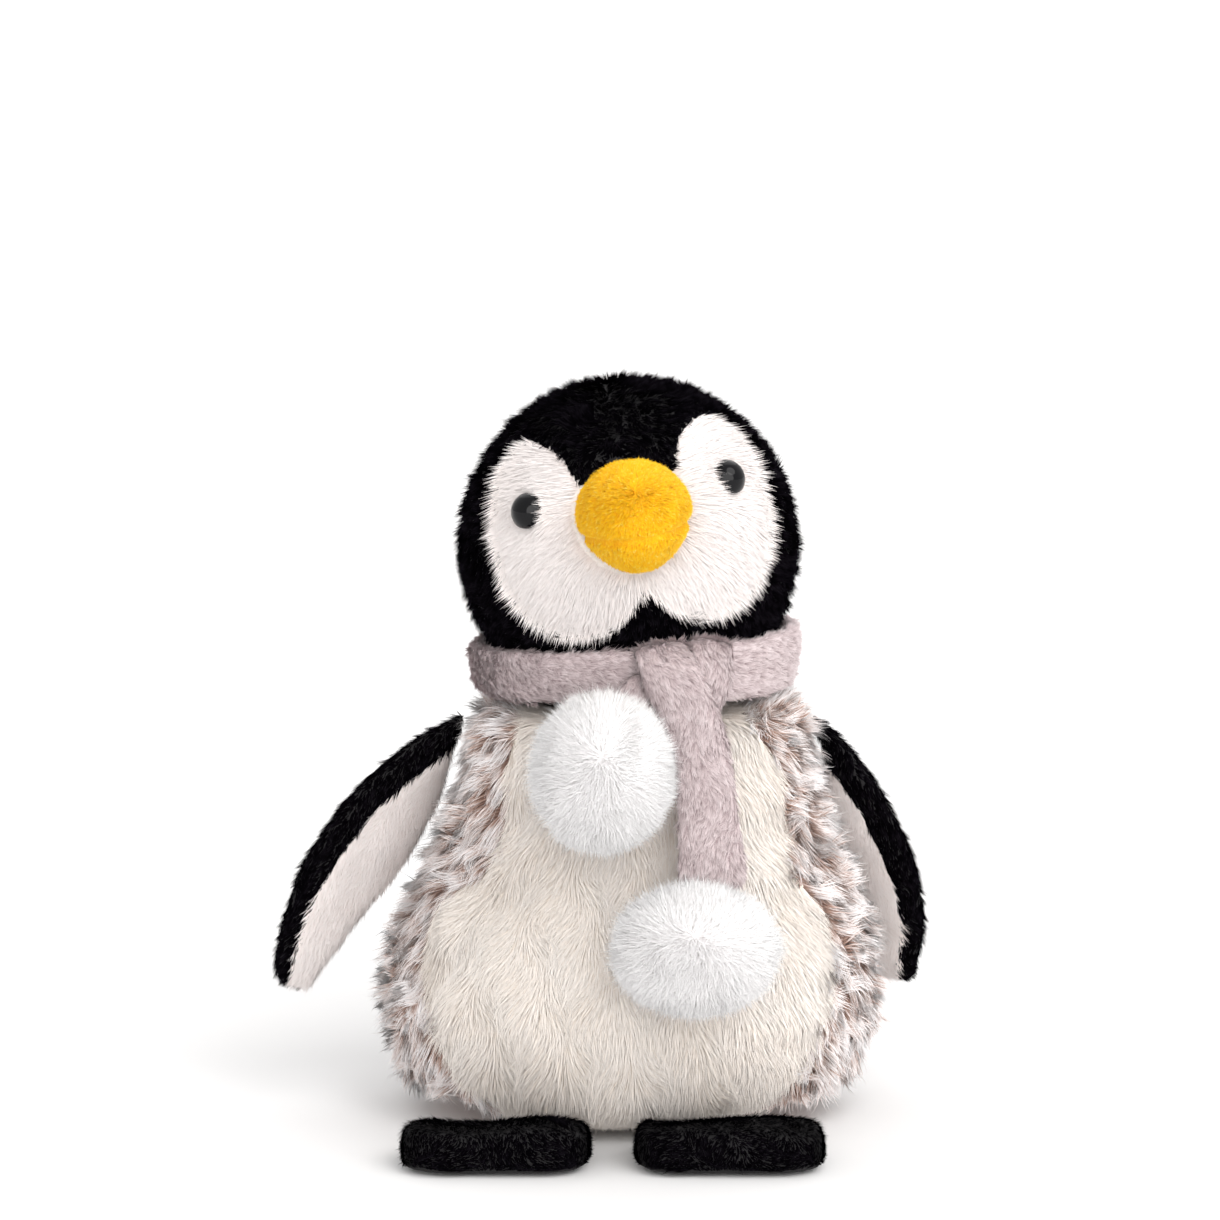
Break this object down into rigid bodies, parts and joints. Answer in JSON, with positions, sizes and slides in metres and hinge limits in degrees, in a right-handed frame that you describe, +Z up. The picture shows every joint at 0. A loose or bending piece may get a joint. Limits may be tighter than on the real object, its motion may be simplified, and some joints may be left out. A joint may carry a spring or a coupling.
{
  "type": "plush penguin",
  "caption": "Standing plush penguin with a weighted body, turning head, lifting wings, flexing feet and a scarf with swinging pompoms.",
  "frame": {"origin": "centre of the flat base, on the surface it stands on", "axes": "+Z up, the face looks along -Y, the penguin's own left is +X"},
  "size_m": [0.2242, 0.181, 0.248],
  "materials": {
    "black_plush": "short black plush pile",
    "white_plush": "soft white pile",
    "cream_plush": "cream pile",
    "frosted_fur": "long frosted fur, brown roots and pale tips",
    "beak_velour": "short golden velour pile",
    "scarf_plush": "short taupe plush pile",
    "pompom_fur": "dense white fur",
    "eye_plastic": "polished black",
    "washer_plastic": "moulded",
    "polyester_fibre": "loose fibre",
    "calico": "plain weave",
    "pellet_plastic": "moulded beads",
    "thread": "twisted"
  },
  "bodies": {
    "torso": {"base_panel": "cream_plush", "belly_panel": "cream_plush", "body_side_left": "frosted_fur", "body_side_right": "frosted_fur", "body_stuffing": "polyester_fibre", "pellet_bag": "calico", "pellets": "pellet_plastic", "scarf_loop": "scarf_plush", "scarf_crossover": "scarf_plush"},
    "neck": {"neck_stuffing": "polyester_fibre"},
    "neck_gather": {"neck_drawstring": "thread"},
    "head": {"head_side_left": "black_plush", "head_side_right": "black_plush", "chin_panel": "black_plush", "face_patch_left": "white_plush", "face_patch_right": "white_plush", "beak_upper": "beak_velour", "beak_lower": "beak_velour", "beak_stuffing": "polyester_fibre", "eye_left": "eye_plastic", "eye_right": "eye_plastic", "eye_washer_left": "washer_plastic", "eye_washer_right": "washer_plastic", "head_stuffing": "polyester_fibre"},
    "wing_left": {"wing_left_outer": "black_plush", "wing_left_inner": "white_plush", "wing_left_wadding": "polyester_fibre"},
    "wing_right": {"wing_right_outer": "black_plush", "wing_right_inner": "white_plush", "wing_right_wadding": "polyester_fibre"},
    "foot_left": {"foot_left_upper": "black_plush", "foot_left_sole": "black_plush", "foot_left_filling": "polyester_fibre"},
    "foot_right": {"foot_right_upper": "black_plush", "foot_right_sole": "black_plush", "foot_right_filling": "polyester_fibre"},
    "long_tail": {"scarf_long_tail": "scarf_plush"},
    "long_pompom": {"pompom_long_cover": "pompom_fur", "pompom_long_stuffing": "polyester_fibre"},
    "short_tail": {"scarf_short_tail": "scarf_plush"},
    "short_pompom": {"pompom_short_cover": "pompom_fur", "pompom_short_stuffing": "polyester_fibre"}
  },
  "joints": [
    {"name": "head_turn", "type": "hinge", "parent": "torso", "child": "neck", "pos_m": [0.0003, 0, 0.1915], "axis": [0, 0, 1], "range_deg": [-25, 25], "stiffness_Nm_per_rad": 0.3},
    {"name": "head_nod", "type": "hinge", "parent": "neck", "child": "neck_gather", "pos_m": [0.0003, 0, 0.1915], "axis": [-1, 0, 0], "range_deg": [-12, 12], "stiffness_Nm_per_rad": 0.3},
    {"name": "head_tilt", "type": "hinge", "parent": "neck_gather", "child": "head", "pos_m": [0.0003, 0, 0.1915], "axis": [0, 1, 0], "range_deg": [-8, 22], "stiffness_Nm_per_rad": 0.3},
    {"name": "wing_left_lift", "type": "hinge", "parent": "torso", "child": "wing_left", "pos_m": [0.06132, 0.004, 0.137], "axis": [0, -1, 0], "range_deg": [0, 75]},
    {"name": "wing_right_lift", "type": "hinge", "parent": "torso", "child": "wing_right", "pos_m": [-0.05177, 0.004, 0.137], "axis": [0, 1, 0], "range_deg": [0, 60]},
    {"name": "foot_left_flex", "type": "hinge", "parent": "torso", "child": "foot_left", "pos_m": [0.03295, -0.057, 0.001], "axis": [-1, 0, 0], "range_deg": [0, 15]},
    {"name": "foot_right_flex", "type": "hinge", "parent": "torso", "child": "foot_right", "pos_m": [-0.04255, -0.057, 0.001], "axis": [-1, 0, 0], "range_deg": [0, 15]},
    {"name": "long_tail_lift", "type": "hinge", "parent": "torso", "child": "long_tail", "pos_m": [0.0255, -0.0585, 0.146], "axis": [-1, 0, 0], "range_deg": [0, 60]},
    {"name": "long_pompom_swing", "type": "hinge", "parent": "long_tail", "child": "long_pompom", "pos_m": [0.0255, -0.07339, 0.09119], "axis": [-1, 0, 0], "range_deg": [0, 45]},
    {"name": "short_tail_lift", "type": "hinge", "parent": "torso", "child": "short_tail", "pos_m": [0, -0.0585, 0.146], "axis": [-1, 0, 0], "range_deg": [0, 35]},
    {"name": "short_pompom_swing", "type": "hinge", "parent": "short_tail", "child": "short_pompom", "pos_m": [0, -0.05461, 0.13402], "axis": [-1, 0, 0], "range_deg": [0, 15]}
  ]
}
